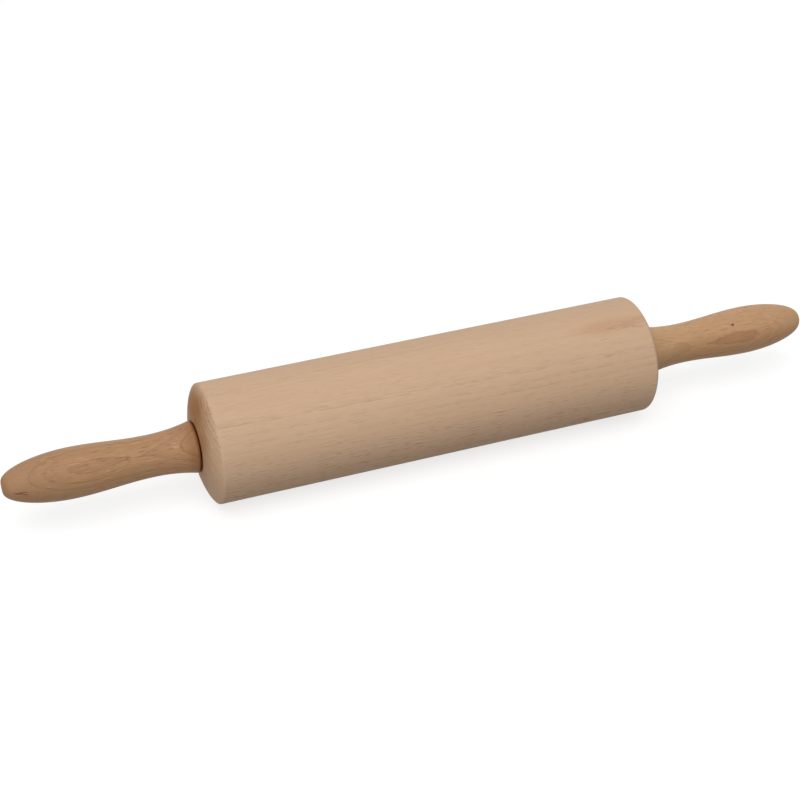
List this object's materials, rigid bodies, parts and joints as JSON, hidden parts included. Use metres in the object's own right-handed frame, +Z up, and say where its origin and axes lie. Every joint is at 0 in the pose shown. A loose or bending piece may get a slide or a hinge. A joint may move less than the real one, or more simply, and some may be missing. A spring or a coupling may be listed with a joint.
{
  "type": "rolling pin",
  "caption": "Beech rolling pin: a barrel with crowned ends that spins on ball bearings round a steel axle, between turned handles fixed to the axle's ends.",
  "frame": {"origin": "under the middle of the barrel, on the surface that it rests on", "axes": "+X along the axle towards the right handle, +Y away from the user, +Z up"},
  "size_m": [0.4274, 0.06, 0.0599],
  "materials": {
    "barrel_beech": "bare sanded beech, straight grain along the axis with short dark flecks",
    "handle_beech": "lacquered beech, warmer and darker than the barrel, with cathedral grain",
    "axle_steel": "drawn steel rod and turned washers",
    "bearing_steel": "ground bearing steel",
    "cage_nylon": "natural nylon"
  },
  "bodies": {
    "axle_and_handles": {"axle_rod": "axle_steel", "left_handle": "handle_beech", "left_spacer_washer": "axle_steel", "left_bearing_inner_ring": "bearing_steel", "right_handle": "handle_beech", "right_spacer_washer": "axle_steel", "right_bearing_inner_ring": "bearing_steel"},
    "barrel": {"barrel": "barrel_beech", "left_bearing_outer_ring": "bearing_steel", "left_bearing_outer_shield": "bearing_steel", "left_bearing_inner_shield": "bearing_steel", "right_bearing_outer_ring": "bearing_steel", "right_bearing_outer_shield": "bearing_steel", "right_bearing_inner_shield": "bearing_steel"},
    "left_cage": {"left_bearing_cage": "cage_nylon", "left_bearing_ball_1": "bearing_steel", "left_bearing_ball_2": "bearing_steel", "left_bearing_ball_3": "bearing_steel", "left_bearing_ball_4": "bearing_steel", "left_bearing_ball_5": "bearing_steel", "left_bearing_ball_6": "bearing_steel", "left_bearing_ball_7": "bearing_steel"},
    "right_cage": {"right_bearing_cage": "cage_nylon", "right_bearing_ball_1": "bearing_steel", "right_bearing_ball_2": "bearing_steel", "right_bearing_ball_3": "bearing_steel", "right_bearing_ball_4": "bearing_steel", "right_bearing_ball_5": "bearing_steel", "right_bearing_ball_6": "bearing_steel", "right_bearing_ball_7": "bearing_steel"}
  },
  "joints": [
    {"name": "barrel_spin", "type": "hinge", "parent": "axle_and_handles", "child": "barrel", "pos_m": [0, 0, 0.02996], "axis": [1, 0, 0], "continuous": true},
    {"name": "left_cage_spin", "type": "hinge", "parent": "axle_and_handles", "child": "left_cage", "pos_m": [0, 0, 0.02996], "axis": [1, 0, 0], "continuous": true},
    {"name": "right_cage_spin", "type": "hinge", "parent": "axle_and_handles", "child": "right_cage", "pos_m": [0, 0, 0.02996], "axis": [1, 0, 0], "continuous": true}
  ],
  "couplings": [
    {"joint": "left_cage_spin", "follows": "barrel_spin", "ratio": 0.6314},
    {"joint": "right_cage_spin", "follows": "barrel_spin", "ratio": 0.6314}
  ]
}
